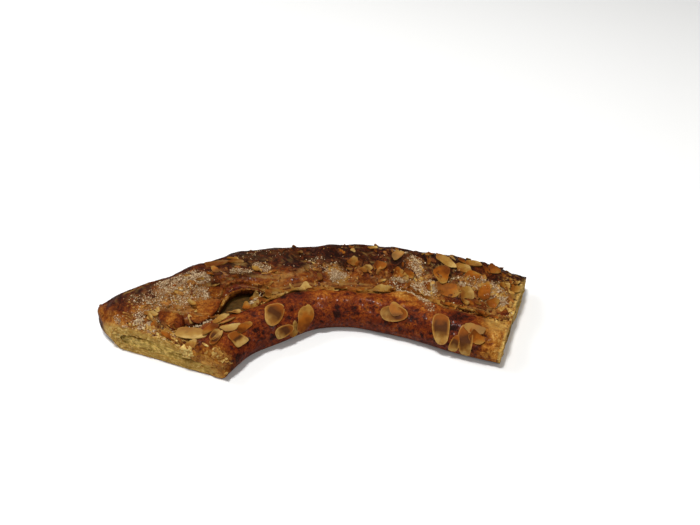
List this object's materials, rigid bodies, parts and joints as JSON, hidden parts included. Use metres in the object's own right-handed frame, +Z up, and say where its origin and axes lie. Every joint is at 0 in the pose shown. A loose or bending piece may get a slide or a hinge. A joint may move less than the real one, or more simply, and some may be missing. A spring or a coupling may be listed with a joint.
{
  "type": "danish pastry strip",
  "caption": "Curved piece of a folded Danish pastry ring with almond filling, flaked almonds and sugar on top and both ends cut.",
  "frame": {"origin": "middle of the bounding box, on the flat underside", "axes": "+X along the strip from its wide left end to its right end, +Y from the inner edge of the bend to the outer edge, +Z up"},
  "size_m": [0.3272, 0.146, 0.0283],
  "materials": {
    "baked_crust": "baked, egg-washed crust, golden to dark brown, glossy on the front roll and rough with sugar behind",
    "almond_filling": "soft, slightly moist paste"
  },
  "bodies": {
    "root": {"pastry_dough": "baked_crust", "filling": "almond_filling"}
  },
  "joints": []
}
